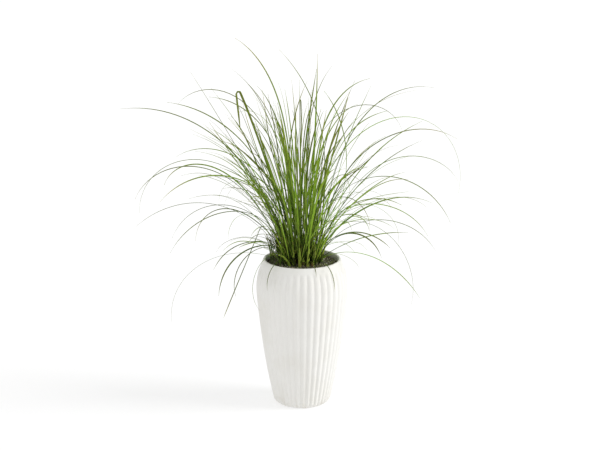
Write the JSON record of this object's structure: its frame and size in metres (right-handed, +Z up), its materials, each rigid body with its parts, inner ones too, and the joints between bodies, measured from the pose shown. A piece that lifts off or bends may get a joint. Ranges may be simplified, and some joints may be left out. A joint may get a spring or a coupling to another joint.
{
  "type": "potted ornamental grass",
  "caption": "Tall round ribbed planter with a clump of arching, narrow-bladed ornamental grass growing from the compost that fills it",
  "frame": {"origin": "middle of the pot's flat foot", "axes": "Z up along the pot's axis, -Y to the front of the picture, X to its right"},
  "size_m": [0.907, 0.8343, 0.9734],
  "materials": {
    "pot_white": "satin",
    "compost_dark": "matte",
    "leaf_green": "satin"
  },
  "bodies": {
    "root": {"pot": "pot_white", "compost": "compost_dark", "shoot_01": "leaf_green", "shoot_02": "leaf_green", "shoot_03": "leaf_green", "shoot_04": "leaf_green", "shoot_05": "leaf_green", "shoot_06": "leaf_green", "shoot_07": "leaf_green", "shoot_08": "leaf_green", "shoot_09": "leaf_green", "shoot_10": "leaf_green", "shoot_11": "leaf_green", "shoot_12": "leaf_green", "shoot_13": "leaf_green", "shoot_14": "leaf_green", "shoot_15": "leaf_green", "shoot_16": "leaf_green", "shoot_17": "leaf_green", "shoot_18": "leaf_green", "shoot_19": "leaf_green", "shoot_20": "leaf_green", "shoot_21": "leaf_green", "shoot_22": "leaf_green", "shoot_23": "leaf_green", "shoot_24": "leaf_green", "shoot_25": "leaf_green", "shoot_26": "leaf_green", "shoot_27": "leaf_green", "shoot_28": "leaf_green", "shoot_29": "leaf_green", "shoot_30": "leaf_green", "shoot_31": "leaf_green", "shoot_32": "leaf_green", "shoot_33": "leaf_green", "shoot_34": "leaf_green", "shoot_35": "leaf_green", "shoot_36": "leaf_green", "shoot_37": "leaf_green", "shoot_38": "leaf_green", "shoot_39": "leaf_green", "shoot_40": "leaf_green", "shoot_41": "leaf_green", "shoot_42": "leaf_green", "shoot_43": "leaf_green", "shoot_44": "leaf_green", "shoot_45": "leaf_green", "shoot_46": "leaf_green", "shoot_47": "leaf_green", "shoot_48": "leaf_green", "shoot_49": "leaf_green", "shoot_50": "leaf_green", "shoot_51": "leaf_green", "shoot_52": "leaf_green", "shoot_53": "leaf_green", "shoot_54": "leaf_green"}
  },
  "joints": []
}
